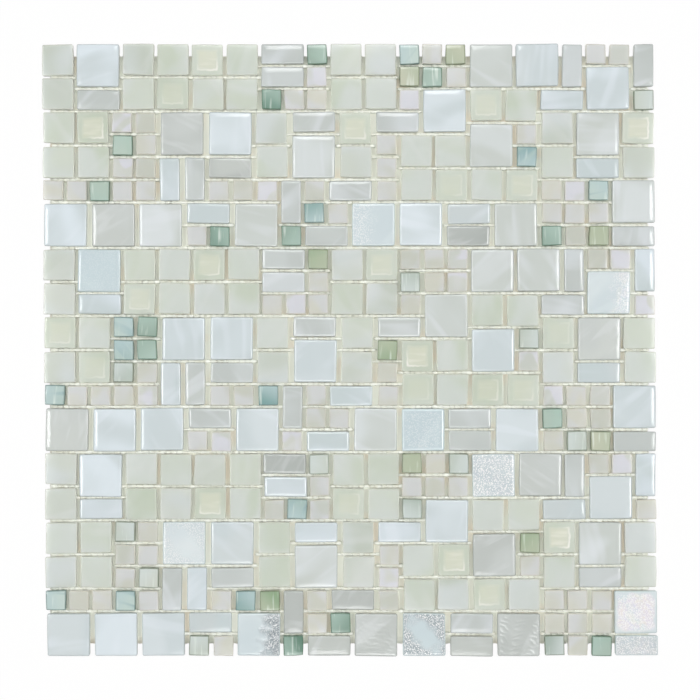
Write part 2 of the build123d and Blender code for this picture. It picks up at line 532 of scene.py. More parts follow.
# The tinted glasses are seen through to their coats, so they are painted deep at the rim, partly as shade,
# and painted lighter on one side as light from the coat
SEA_GREEN = TransparentGlass(
    "sea_green_glass_cut_with_coated_back", "sea_green_glass", body="#4f7a66", cloud="#8fac9f",
    streak="#a9c4b4", lot_end="#bbccc0", rim="#4c6d57", wall="#94ab9b", glow="#b4cbc0", lot_share=1.5,
    glow_share=0.6)
AQUA = TransparentGlass(
    "aqua_glass_cut_with_coated_back", "aqua_glass", body="#789f9c", cloud="#b2c6c1", streak="#7ba2aa",
    lot_end="#c8d8d1", rim="#67827c", wall="#a9bab2", glow="#bacfcf", streak_mm=4.0, streak_share=0.6)
OLIVE = TransparentGlass(
    "olive_glass_cut_with_coated_back", "olive_glass", body="#8ba784", cloud="#a9b699", streak="#b9c3a6",
    lot_end="#c6cab4", rim="#6c795b", wall="#acb598", glow="#b8c2aa")
CLEAR = TransparentGlass(
    "clear_glass_cut_with_coated_back", "clear_glass", body="#9fafa5", cloud="#c7d2ca", streak="#d8e0da",
    lot_end="#cfd4c9", rim="#7a8672", wall="#b3bdaf", glow="#d2dbd8")


@dataclass(frozen=True)
class NetFinish:
    """A finish of the backing: two tones in soft patches, and a fine relief."""

    name: str
    light: str
    dark: str
    patch_mm: float
    patch_detail: float
    relief_mm: float
    relief_detail: float
    relief_height_mm: float
    roughness: float
    patch_levels: tuple[float, float] = (0.0, 1.0)      # of the noise, where the dark tone begins and is full

    def layers(self, tree: Tree, place: Socket) -> Layers:
        """Paint the dark tone in patches.

        Args:
            tree: the material's node tree.
            place: where each point lies, in metres.

        Returns:
            The layers over the light tone.
        """
        sizes = (self.patch_mm * MM,) * 3
        return [(patches(tree, place, sizes, self.patch_levels, detail=self.patch_detail), self.dark)]

    @cache
    def material(self) -> Material:
        """Make the finish's material, once."""
        material, tree = new_material(self.name)
        place = add_node(tree, "TexCoord").outputs["Object"]
        colour = paint(tree, self.light, self.layers(tree, place))
        relief = add_node(tree, "TexNoise", {0: place, "Scale": 1 / (self.relief_mm * MM),
                                             "Detail": self.relief_detail})
        bump = add_node(tree, "Bump", {"Height": relief, "Distance": self.relief_height_mm * MM})
        shader = add_node(tree, "BsdfPrincipled", {"Base Color": colour, "Roughness": self.roughness,
                                                   "Normal": bump})
        add_node(tree, "OutputMaterial", {0: shader})
        return material


@dataclass(frozen=True)
class FilmFinish(NetFinish):
    """An adhesive film with amber stains, so thin on its back that the shade of the glass shows through."""

    amber: str = "#ecd9c0"
    amber_mm: float = 70 / 3      # from one stain to the next
    amber_share: float = 0.5
    amber_levels: tuple[float, float] = (0.5, 0.65)
    back: str = "#c2c6b8"
    back_mm: float = 0.25         # what lies lower than this is the back

    def layers(self, tree: Tree, place: Socket) -> Layers:
        """Paint the dark tone in patches, the stains and the back.

        Args:
            tree: the material's node tree.
            place: where each point lies, in metres.

        Returns:
            The layers over the light tone.
        """
        sizes = (self.amber_mm * MM,) * 3
        stain = patches(tree, place, sizes, self.amber_levels, self.amber_share, detail=2.0)
        height = add_node(tree, "SeparateXYZ", {0: place}).outputs[2]
        below = add_node(tree, "Math", {0: height, 1: self.back_mm * MM}, operation="LESS_THAN")
        return super().layers(tree, place) + [(stain, self.amber), (below, self.back)]


# Acrylic adhesive dries to a straw-coloured, slightly shiny skin that keeps the marks of the roller
ADHESIVE_FILM = FilmFinish(
    "acrylic_adhesive_rolled_on", light="#f4f7ed", dark="#ecede0", patch_mm=14.0, patch_detail=4.0,
    relief_mm=1.6, relief_detail=2.0, relief_height_mm=0.06, roughness=0.5)
# It stays milky where it is thick, so the beads are cream white with a soft shine
ADHESIVE_BEAD = NetFinish(
    "acrylic_adhesive_squeezed_up", light="#f6f8f0", dark="#eeeee1", patch_mm=3.0, patch_detail=3.0,
    relief_mm=3.0, relief_detail=3.0, relief_height_mm=0.04, roughness=0.45, patch_levels=(0.4, 0.7))
# Fine filaments scatter nearly all light, so the yarn is white, with faint darker specks of painted shade
# between them. Single filaments are too fine to show, so the specks are as wide as bundles of them
GLASS_YARN = NetFinish(
    "glass_fibre_yarn_twisted_and_sized", light="#fefefc", dark="#f2f0e6", patch_mm=0.35, patch_detail=3.0,
    relief_mm=0.35, relief_detail=3.0, relief_height_mm=0.08, roughness=0.75)


class Relief(Enum):
    """Where a rolled face carries its grain."""

    ALL = "all"
    LEFT = "left"
    RIGHT = "right"
    MIDDLE = "middle"
    BORDER = "border"


class Lot(Enum):
    """The melts that a glass was cut from, from the deepest in colour to the palest."""

    DEEP = "d"
    MIDDLE = "m"
    PALE = "p"

    def share(self, draw: float) -> float:
        """Bring a draw from 0 to 1 into this lot's part of that range."""
        return (list(Lot).index(self) + draw) / len(Lot)


class Format(Enum):
    """The formats that the tesserae are pressed in, by the names of their nodes."""

    LARGE = "large_squares"
    MEDIUM = "medium_squares"
    SMALL = "small_squares"
    BAR = "bars"


@dataclass(frozen=True)
class Grain:
    """How a rolled face is grained: where, how strongly from 0 to 1, and how deep in millimetres."""

    relief: Relief = Relief.ALL
    # the strength of the glints painted on the drops
    sparkle: float = 0.0      # how bright the drops are
    silver: float = 0.0       # how far the thin film greys the glass
    film: float = 0.0         # how far the thick film colours it
    drop_depth: float = 0.1
    hammer_depth: float = 0.0
    hammer_turn: float = 0.0  # of the wrinkles, in degrees

    @property
    def rolled(self) -> bool:
        """Whether the face has any relief."""
        return self.sparkle > 0 or self.hammer_depth > 0


@dataclass(frozen=True)
class Tessera:
    """Place and size of one laid tessera, in millimetres."""

    x: float
    y: float
    turn: float
    half_width: float
    half_height: float
    back: float
    face: float


@dataclass(frozen=True)
class Pressing:
    """How the tesserae of a format are shaped, in millimetres."""

    corner_radius: float
    rim_width: float
    rim_drop: float
    shoulder_width: float = 0.0   # of the fire-polished slope inside the rim
    shoulder_slope: float = 0.0
    shoulder_steps: tuple[float, ...] = (0.15, 0.85, 1.0)   # shares of that width that have mesh lines
    crown: float = 0.06
    wave: float = 0.05
    wave_length: float = 9.0
    wave_trains: int = 3
    bow: float = 0.12         # how far a side may bow inwards
    askew: float = 0.3        # how far a corner may be cut short
    spacing: float = 2.0      # of the mesh on the face
    rim_steps: int = 5
    draft: float = 0.12       # how far the wall draws in towards the back
    back_edge: float = 0.25

    def lines(self, half: float) -> np.ndarray:
        """Place the mesh lines across a face.

        Args:
            half: half the width of the face.

        Returns:
            Distances from the middle, close together round the rim.
        """
        angles = np.linspace(0.0, math.pi / 2, self.rim_steps + 1)
        rim = half - self.rim_width * (1 - np.cos(angles))
        shoulder = rim[-1] - self.shoulder_width * np.array(self.shoulder_steps)
        count = max(2, round(2 * shoulder[-1] / self.spacing))
        inner = np.linspace(-shoulder[-1], shoulder[-1], count + 1)
        return np.unique(np.concatenate([-rim, -shoulder, inner[1:-1], shoulder, rim]))

    def outline(self, width: float, height: float) -> tuple[np.ndarray, np.ndarray, np.ndarray]:
        """Lay the mesh of a face within its round-cornered outline.

        Args:
            width: half the face's width.
            height: half its height.

        Returns:
            The grid's distances across and up, and how far each point lies in from the outline.
        """
        radius = self.corner_radius
        across, up = np.meshgrid(self.lines(width), self.lines(height))
        over_x = np.clip((np.abs(across) - width + radius) / radius, 0, 1)
        over_y = np.clip((np.abs(up) - height + radius) / radius, 0, 1)
        x = across - np.sign(across) * radius * (over_x - over_x * np.sqrt(1 - over_y ** 2 / 2))
        y = up - np.sign(up) * radius * (over_y - over_y * np.sqrt(1 - over_x ** 2 / 2))
        beyond_x, beyond_y = np.abs(x) - width + radius, np.abs(y) - height + radius
        corner = np.hypot(np.maximum(beyond_x, 0), np.maximum(beyond_y, 0))
        return x, y, np.maximum(radius - corner - np.minimum(np.maximum(beyond_x, beyond_y), 0), 0)


PRESSINGS = {
    Format.LARGE: Pressing(0.9, 0.75, 0.5, shoulder_width=0.5, shoulder_slope=0.14, askew=0.15),
    Format.MEDIUM: Pressing(0.6, 0.5, 0.35),
    Format.SMALL: Pressing(0.4, 0.4, 0.3, spacing=1.8),
    Format.BAR: Pressing(0.8, 0.65, 0.45, shoulder_width=0.5, shoulder_slope=0.14, askew=0.15),
}


def measure_tessera(corners: np.ndarray) -> Tessera:
    """Measure one tessera from its corners.

    Args:
        corners: the corners of its solid in millimetres.

    Returns:
        Its place, turn and size.
    """
    back, face = corners[:, 2].min(), corners[:, 2].max()
    foot = corners[corners[:, 2] < back + LEVEL_MM, :2]
    middle = (foot.min(axis=0) + foot.max(axis=0)) / 2
    around = foot[np.argsort(np.arctan2(*(foot - middle).T[::-1]))]
    sides = np.roll(around, -1, axis=0) - around
    longest = sides[np.argmax(np.hypot(*sides.T))]
    quarter = math.pi / 2
    turn = (math.atan2(longest[1], longest[0]) + quarter / 2) % quarter - quarter / 2
    axes = np.array([[math.cos(turn), math.sin(turn)], [-math.sin(turn), math.cos(turn)]])
    spread = (foot - middle) @ axes.T
    half_width, half_height = (spread.max(axis=0) - spread.min(axis=0)) / 2
    return Tessera(middle[0], middle[1], turn, half_width, half_height, back, face)


def read_tesserae(node: str) -> list[Tessera]:
    """Find each tessera of a node from its solid.

    Args:
        node: the name of the node.

    Returns:
        The tesserae, from the top of the sheet down and from left to right.
    """
    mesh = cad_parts[node].data
    points = np.empty(3 * len(mesh.vertices))
    mesh.vertices.foreach_get("co", points)
    ends = np.empty(2 * len(mesh.edges), dtype=int)
    mesh.edges.foreach_get("vertices", ends)
    # Corners that agree to a thousandth of a millimetre are one, and those that edges join are one tessera
    corners, index = np.unique(np.round(points.reshape(-1, 3) / MM, 3), axis=0, return_inverse=True)
    first, second = index.ravel()[ends.reshape(-1, 2)].T
    island = np.arange(len(corners))
    settled = False
    while not settled:
        before = island.copy()
        least = np.minimum(island[first], island[second])
        np.minimum.at(island, first, least)
        np.minimum.at(island, second, least)
        settled = np.array_equal(before, island)
    found = [measure_tessera(corners[island == label]) for label in np.unique(island)]
    return sorted(found, key=lambda tessera: (round(-tessera.y / ROW_MM), tessera.x))


def grid_quads(index: np.ndarray) -> np.ndarray:
    """Join the points of a grid into quads.

    Args:
        index: the number of each point, row by row.

    Returns:
        The four corners of each cell.
    """
    cells = [index[:-1, :-1], index[:-1, 1:], index[1:, 1:], index[1:, :-1]]
    return np.stack([cell.ravel() for cell in cells], axis=1)


def grid_border(index: np.ndarray) -> np.ndarray:
    """Walk once round a grid, and give the numbers of its outer points."""
    return np.concatenate([index[0, :-1], index[:-1, -1], index[-1, :0:-1], index[:0:-1, 0]])


def wall_quads(above: np.ndarray, below: np.ndarray) -> np.ndarray:
    """Join a closed loop of points to the loop below it, point by point."""
    return np.stack([above, below, np.roll(below, -1), np.roll(above, -1)], axis=1)


def ring_quads(corner: np.ndarray) -> np.ndarray:
    """Join rings of points, each to the next.

    Args:
        corner: the number of each point, ring by ring.

    Returns:
        The four corners of each piece of wall.
    """
    walls = [corner[:-1], np.roll(corner[:-1], -1, axis=1), np.roll(corner[1:], -1, axis=1), corner[1:]]
    return np.stack([wall.ravel() for wall in walls], axis=1)


@dataclass
class MeshParts:
    """The points, faces and fields of a joined mesh while its pieces are added."""

    points: list[np.ndarray] = field(default_factory=list)
    faces: list[list[int]] = field(default_factory=list)
    fields: dict[str, list[np.ndarray]] = field(default_factory=dict)
    count: int = 0

    def add(self, points: np.ndarray, faces: list[list[int]], **fields: np.ndarray) -> None:
        """Add a piece.

        Args:
            points: its points in millimetres.
            faces: its faces, counted from its own first point.
            fields: a row for each point of every field.
        """
        self.points.append(points)
        self.faces.extend([[corner + self.count for corner in face] for face in faces])
        for name, rows in fields.items():
            self.fields.setdefault(name, []).append(rows)
        self.count += len(points)

    def build(self, name: str, material: Material) -> Piece:
        """Join the pieces into an object on the sheet's body.

        Args:
            name: the object's name.
            material: its finish.

        Returns:
            The object.
        """
        mesh = bpy.data.meshes.new(name)
        mesh.from_pydata((np.concatenate(self.points) * MM).tolist(), [], self.faces)
        for label, rows in self.fields.items():
            values = np.concatenate(rows)
            if values.ndim == 1:
                mesh.attributes.new(label, "FLOAT", "POINT").data.foreach_set("value", values)
            else:
                mesh.attributes.new(label, "FLOAT_VECTOR", "POINT").data.foreach_set("vector", values.ravel())
        mesh.shade_smooth()
        mesh.materials.append(material)
        piece = bpy.data.objects.new(name, mesh)
        bpy.context.scene.collection.objects.link(piece)
        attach(piece, BODY)
        log.info("%s: %d faces", name, len(mesh.polygons))
        return piece


@dataclass
class GlassTesserae:
    """The tesserae of one format and one glass, pressed, cut and laid."""

    format: Format
    glass: str
    finish: GlassFinish
    seed: int
    grains: tuple[Grain, ...] = (Grain(),)
    lots: str = ""                # letters of the lots, from the top of the sheet down
    drop_mm: float = 0.8          # drops of a rolled face, from one to the next
    drop_spacing: float = 0.3     # of the mesh on a rolled face
    hammer_mm: float = 2.4        # wrinkles of a hammered face

    @property
    def node(self) -> str:
        """Name of the node that holds the solids."""
        return f"{self.format.value}_{self.glass}"

    def face_shape(self, tessera: Tessera, grain: Grain, hand: Hand) -> tuple[np.ndarray, ...]:
        """Shape the face of a tessera on a grid of lines.

        Args:
            tessera: the tessera.
            grain: how its face is grained.
            hand: the draws that make it differ from its neighbours.

        Returns:
            The grid's distances across and up, its heights, how far each point lies in from the outline, and
            how strongly it is grained.
        """
        pressing = PRESSINGS[self.format]
        if grain.rolled:
            pressing = replace(pressing, spacing=self.drop_spacing)
        width, height = tessera.half_width, tessera.half_height
        x, y, inset = pressing.outline(width, height)
        level = np.clip(inset / pressing.rim_width, 0, 1)
        drop = pressing.rim_drop * (1 - np.sqrt(1 - (1 - level) ** 2))
        dome = pressing.crown * ((x / width) ** 2 + (y / height) ** 2) / 2
        z = tessera.face - drop - dome - level * self.waves(x, y, pressing, hand)
        grained = np.zeros_like(x)
        if grain.rolled:
            grained = level * self.grained(x / width, y / height, grain.relief)
            z = z - grain.drop_depth * grained * self.drops(x, y, hand)
            turn = math.radians(grain.hammer_turn)
            turned = x * math.cos(turn) + y * math.sin(turn), y * math.cos(turn) - x * math.sin(turn)
            z = z - grain.hammer_depth * grained * self.wrinkles(*turned)
        side = hand.uniform(0, 2 * math.pi, 4)
        # The shoulder slopes from half to one and a half times as much, by the tessera
        polish = pressing.shoulder_slope * (0.5 + side[0] / (2 * math.pi))
        z = z - polish * np.maximum(pressing.rim_width + pressing.shoulder_width - inset, 0)
        askew = hand.uniform(0, pressing.askew, 4) * hand.choice((-1, 1), 4)
        bow_x = pressing.bow * (1 + np.sin(y / height * 2 + np.where(x > 0, side[0], side[1]))) / 2
        bow_y = pressing.bow * (1 + np.sin(x / width * 2 + np.where(y > 0, side[2], side[3]))) / 2
        bow_x = bow_x + np.maximum(np.where(x > 0, askew[0], askew[1]) * y / height, 0)
        bow_y = bow_y + np.maximum(np.where(y > 0, askew[2], askew[3]) * x / width, 0)
        bowed_x = x - bow_x * x * np.abs(x) / width ** 2
        bowed_y = y - bow_y * y * np.abs(y) / height ** 2
        return bowed_x, bowed_y, z, inset, grained

    def waves(self, x: np.ndarray, y: np.ndarray, pressing: Pressing, hand: Hand) -> np.ndarray:
        """Work out the slow waves that fire-polishing leaves.

        Args:
            x: distances across.
            y: distances up.
            pressing: the format's shape.
            hand: the tessera's own draws.

        Returns:
            How far each point lies below the crests.
        """
        waves = np.zeros_like(x)
        trains = pressing.wave_trains
        for angle, phase in zip(hand.uniform(0, math.pi, trains), hand.uniform(0, 2 * math.pi, trains)):
            along = x * math.cos(angle) + y * math.sin(angle)
            waves += (1 + np.sin(2 * math.pi * along / pressing.wave_length + phase)) / (2 * trains)
        return pressing.wave * waves

    def grained(self, across: np.ndarray, up: np.ndarray, relief: Relief) -> np.ndarray:
        """Work out where a face is grained.

        Args:
            across: shares of the half width.
            up: shares of the half height.
            relief: the part of the face that is grained.

        Returns:
            How strongly each point is grained, from 0 to 1.
        """
        # Below zero a face is smooth. The left side reaches a little past the middle, the middle is a square
        # with rounded corners, and the border lies round a slanting oval
        reach = {
            Relief.ALL: np.ones_like(across),
            Relief.LEFT: 0.2 - across,
            Relief.RIGHT: across,
            Relief.MIDDLE: 5 * (0.92 - (across ** 8 + up ** 8) ** 0.125),
            Relief.BORDER: 1.6 * (np.hypot(across + up, 0.45 * (across - up)) - 0.45),
        }[relief]
        ragged = 0.2 * np.sin(7 * across + 3 * up) * np.sin(8 * up - 2 * across)
        return np.clip(1.5 * (reach + ragged), 0, 1)

    def wrinkles(self, x: np.ndarray, y: np.ndarray) -> np.ndarray:
        """Work out the wrinkles of a hammered face.

        Args:
            x: distances across.
            y: distances up.

        Returns:
            How far each point lies below the ridges, as a share of their height.
        """
        # The ridges wind in a long and a short wave, and fade in and out along their length
        along = x + 0.8 * np.sin(y / self.hammer_mm) + 0.4 * np.sin(2.3 * y / self.hammer_mm + x)
        return 1 - np.abs(np.sin(math.pi * along / self.hammer_mm)) * np.cos(0.9 * y / self.hammer_mm) ** 2

    def drops(self, x: np.ndarray, y: np.ndarray, hand: Hand) -> np.ndarray:
        """Work out the drops of a rolled face.

        Args:
            x: distances across.
            y: distances up.
            hand: the tessera's own draws.

        Returns:
            How far each point lies below the tops of the drops, as a share of their depth.
        """
        nearest = np.full(x.shape, np.inf)
        for centre_x in np.arange(x.min(), x.max(), self.drop_mm):
            for centre_y in np.arange(y.min(), y.max(), self.drop_mm):
                stray = hand.uniform(-0.5, 0.5, 2) * self.drop_mm
                nearest = np.minimum(nearest, np.hypot(x - centre_x - stray[0], y - centre_y - stray[1]))
        return np.clip(nearest / self.drop_mm, 0, 1) ** 2

    def add_tessera(self, parts: MeshParts, tessera: Tessera, grain: Grain, lot: Lot | None,
                    hand: Hand) -> None:
        """Add one tessera: its face, its walls and its back.

        Args:
            parts: the joined mesh.
            tessera: the tessera.
            grain: how its face is grained.
            lot: the melt that it was cut from, or None for any.
            hand: the tessera's own draws.
        """
        pressing = PRESSINGS[self.format]
        x, y, z, inset, grained = self.face_shape(tessera, grain, hand)
        index = np.arange(x.size).reshape(x.shape)
        quads = grid_quads(index)
        # Quads in two quarters of the face are turned, so that diagonals run towards all four corners
        crossed = (x * y).ravel()[quads].sum(axis=1) < 0
        quads[crossed] = np.roll(quads[crossed], 1, axis=1)
        faces = quads.tolist()
        above = grid_border(index)
        edge_x, edge_y, edge_z = x.ravel()[above], y.ravel()[above], z.ravel()[above]
        foot = tessera.back + pressing.back_edge
        middle = (edge_z.mean() + foot) / 2
        rings = [(middle, pressing.draft / 2), (foot, pressing.draft),
                 (tessera.back, pressing.draft + pressing.back_edge)]
        layers = [np.stack([x.ravel(), y.ravel(), z.ravel()], axis=1)]
        insets = [inset.ravel()]
        for height, drawn_in in rings:
            below = np.arange(len(above)) + sum(len(layer) for layer in layers)
            narrow = 1 - drawn_in / np.array([tessera.half_width, tessera.half_height])
            level = np.full(len(above), height)
            layers.append(np.stack([edge_x * narrow[0], edge_y * narrow[1], level], axis=1))
            insets.append(height - edge_z)
            faces.extend(wall_quads(above, below).tolist())
            above = below
        faces.append(above[::-1].tolist())
        local = np.concatenate(layers)
        cos, sin = math.cos(tessera.turn), math.sin(tessera.turn)
        laid = local.copy()
        laid[:, 0] = tessera.x + cos * local[:, 0] - sin * local[:, 1]
        laid[:, 1] = tessera.y + sin * local[:, 0] + cos * local[:, 1]
        draws = hand.uniform(0, 1, 3)
        if lot:
            draws[0] = lot.share(draws[0])
        grains = np.zeros((len(local), 3))
        grains[:grained.size] = grained.reshape(-1, 1) * (grain.sparkle, grain.silver, grain.film)
        parts.add(laid, faces, face_mm=local, inset_mm=np.concatenate(insets),
                  lot=np.tile(draws, (len(local), 1)), grain=grains)

    def build(self) -> None:
        """Build and dress the tesserae as one joined mesh that stands for their node."""
        hand = np.random.default_rng(self.seed)
        parts = MeshParts()
        lots = [Lot(letter) for letter in self.lots] or [None]
        for tessera, grain, lot in zip(read_tesserae(self.node), cycle(self.grains), cycle(lots)):
            self.add_tessera(parts, tessera, grain, lot, hand)
        piece = parts.build(f"glass_{self.node}", self.finish.material())
        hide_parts(self.node)


@dataclass
class BackingNet:
    """The net on the back: a scrim of straight warp with the weft laid over it, in a film of adhesive.

    Adhesive has come up round the weft in the joints that run along it, in a bead at each crossing. Sizes
    are in millimetres.
    """

    tesserae: list[Tessera]

    node: str = "backing_net"
    slot: str = "netting"
    pitch: float = 300 / 108        # two yarns to each half-module of the layout
    yarn_width: float = 1.05
    yarn_thickness: float = 0.15
    yarn_sides: int = 4
    yarn_stray: float = 0.14
    yarn_clearance: float = 0.01    # to what the sheet lies on, and from weft to warp
    film_bottom: float = 0.1
    film_top: float = 0.4
    film_margin: float = 0.2        # how far the film stops short of the net's edge
    film_cell: float = 4.0
    film_unevenness: float = 0.05
    bead_length: float = 4.2
    bead_width: float = 1.9
    bead_top: float = 1.9
    bead_roundness: float = 0.5     # one for a full dome, less for a flatter top
    bead_unevenness: float = 0.2    # how much smaller or larger a bead may be, as a share
    bead_sides: int = 10
    bead_steps: int = 3
    seed: int = 11
    low: np.ndarray = field(init=False)     # corners of the net's box
    high: np.ndarray = field(init=False)

    def __post_init__(self) -> None:
        """Read the net's box from its solid."""
        self.low, self.high = (np.array(corner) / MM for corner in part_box(self.node))

    def stations(self, axis: int) -> np.ndarray:
        """Places of the yarns that cross an axis.

        Args:
            axis: 0 for the yarns side by side along X, 1 along Y.

        Returns:
            Their distances along that axis.
        """
        first = math.ceil((self.low[axis] + self.yarn_width) / self.pitch)
        last = math.floor((self.high[axis] - self.yarn_width) / self.pitch)
        return self.pitch * np.arange(first, last + 1)

    def build_film(self) -> Piece:
        """Build the adhesive film as a thin closed sheet with an uneven top and back."""
        hand = np.random.default_rng(self.seed)
        ends = [(self.low[axis] + self.film_margin, self.high[axis] - self.film_margin) for axis in (0, 1)]
        x, y = np.meshgrid(*[np.linspace(*end, round((end[1] - end[0]) / self.film_cell)) for end in ends])
        index = np.arange(x.size).reshape(x.shape)
        top = grid_quads(index)
        loop = grid_border(index)
        uneven = hand.uniform(0, self.film_unevenness, (2, x.size))
        points = np.concatenate([
            np.stack([x.ravel(), y.ravel(), self.film_top - uneven[0]], axis=1),
            np.stack([x.ravel(), y.ravel(), self.film_bottom + uneven[1]], axis=1)])
        parts = MeshParts()
        faces = np.concatenate([top, top[:, ::-1] + x.size, wall_quads(loop, loop + x.size)])
        parts.add(points, faces.tolist())
        return parts.build("adhesive_film", ADHESIVE_FILM.material())

    def build_yarns(self, axis: int, name: str, along: np.ndarray, heights: np.ndarray) -> Piece:
        """Build the yarns that run along one axis.

        Args:
            axis: the axis that they run along, 0 for X and 1 for Y.
            name: the piece's name.
            along: where each yarn has a ring of points.
            heights: how high the middle of each ring lies.

        Returns:
            The yarns as one joined mesh.
        """
        hand = np.random.default_rng(self.seed + axis)
        rings, sides = len(along), self.yarn_sides
        angles = 2 * math.pi * np.arange(sides) / sides
        ring_side, ring_up = np.cos(angles) * self.yarn_width / 2, np.sin(angles) * self.yarn_thickness / 2
        corner = np.arange(rings * sides).reshape(rings, sides)
        faces = ring_quads(corner)
        if axis == 0:
            faces = faces[:, ::-1]
        ends = [corner[0][::-1].tolist(), corner[-1].tolist()]
        parts = MeshParts()
        for station in self.stations(1 - axis):
            sway = hand.uniform(-self.yarn_stray, self.yarn_stray, rings)
            points = np.empty((rings, sides, 3))
            points[..., axis] = along[:, None]
            points[..., 1 - axis] = (station + sway)[:, None] + ring_side
            points[..., 2] = heights[:, None] + ring_up
            parts.add(points.reshape(-1, 3), faces.tolist() + ends)
        return parts.build(name, GLASS_YARN.material())

    def bare(self, x: np.ndarray, y: np.ndarray) -> np.ndarray:
        """Tell which places on the net no tessera covers.

        Args:
            x: distances across.
            y: distances up.

        Returns:
            True for each bare place.
        """
        covered = np.zeros(x.shape, dtype=bool)
        for tessera in self.tesserae:
            beside = np.abs(x - tessera.x) < tessera.half_width
            covered |= beside & (np.abs(y - tessera.y) < tessera.half_height)
        return ~covered

    def build_beads(self) -> Piece:
        """Build the beads of adhesive in the joints that run along the weft."""
        hand = np.random.default_rng(self.seed + 2)
        x, y = np.meshgrid(self.stations(0), self.stations(1))
        bare = self.bare(x, y)
        in_line = bare & (np.roll(bare, 1, axis=1) | np.roll(bare, -1, axis=1))
        turns = 2 * math.pi * np.arange(self.bead_sides) / self.bead_sides
        climb = np.linspace(0, math.pi / 2, self.bead_steps + 1)[:-1]
        rise = np.sin(climb) ** self.bead_roundness
        dome = np.stack([np.outer(np.cos(climb), np.cos(turns)) * self.bead_length / 2,
                         np.outer(np.cos(climb), np.sin(turns)) * self.bead_width / 2,
                         np.outer(rise, np.ones(self.bead_sides))], axis=-1).reshape(-1, 3)
        dome = np.concatenate([dome, [[0.0, 0.0, 1.0]]])
        corner = np.arange(len(dome) - 1).reshape(self.bead_steps, self.bead_sides)
        faces = ring_quads(corner).tolist()
        top = corner[-1]
        faces += [[first, second, len(dome) - 1] for first, second in zip(top, np.roll(top, -1))]
        faces.append(corner[0][::-1].tolist())
        foot = (self.film_bottom + self.film_top) / 2
        parts = MeshParts()
        for centre_x, centre_y in zip(x[in_line], y[in_line]):
            size = hand.uniform(1 - self.bead_unevenness, 1 + self.bead_unevenness, 3)
            place = (centre_x + hand.uniform(-self.yarn_stray, self.yarn_stray), centre_y, foot)
            parts.add(dome * (1, 1, self.bead_top - foot) * size + place, faces)
        return parts.build("adhesive_beads", ADHESIVE_BEAD.material())

    def build(self) -> None:
        """Build the film, the beads and both sets of yarns."""
        film = self.build_film()
        beads = self.build_beads()
        sunk = self.low[2] + self.yarn_clearance + self.yarn_thickness / 2
        crest = sunk + self.yarn_thickness + self.yarn_clearance
        up = np.linspace(self.low[1], self.high[1], len(self.stations(1)) // 2)
        warp = self.build_yarns(1, "net_warp", up, np.full(len(up), sunk))
        crossings = self.stations(0)
        across = np.concatenate([[self.low[0]], crossings, crossings[:-1] + self.pitch / 2, [self.high[0]]])
        heights = np.where(np.isin(across, crossings), crest, sunk)
        order = np.argsort(across)
        weft = self.build_yarns(0, "net_weft", across[order], heights[order])
        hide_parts(self.node)


@dataclass(frozen=True)
class SoftBox:
    """A soft light turned to the middle of the sheet, in metres and watts."""

    name: str
    place: tuple[float, float, float]
    width: float
    length: float
    watts: float

    def hang(self) -> None:
        """Hang the light in its place."""
        light = bpy.data.lights.new(self.name, "AREA")
        light.shape = "RECTANGLE"
        light.size = self.width
        light.size_y = self.length
        light.energy = self.watts
        box = bpy.data.objects.new(self.name, light)
        box.location = self.place
        box.rotation_euler = (-Vector(self.place)).to_track_quat("-Z", "Y").to_euler()
        bpy.context.scene.collection.objects.link(box)


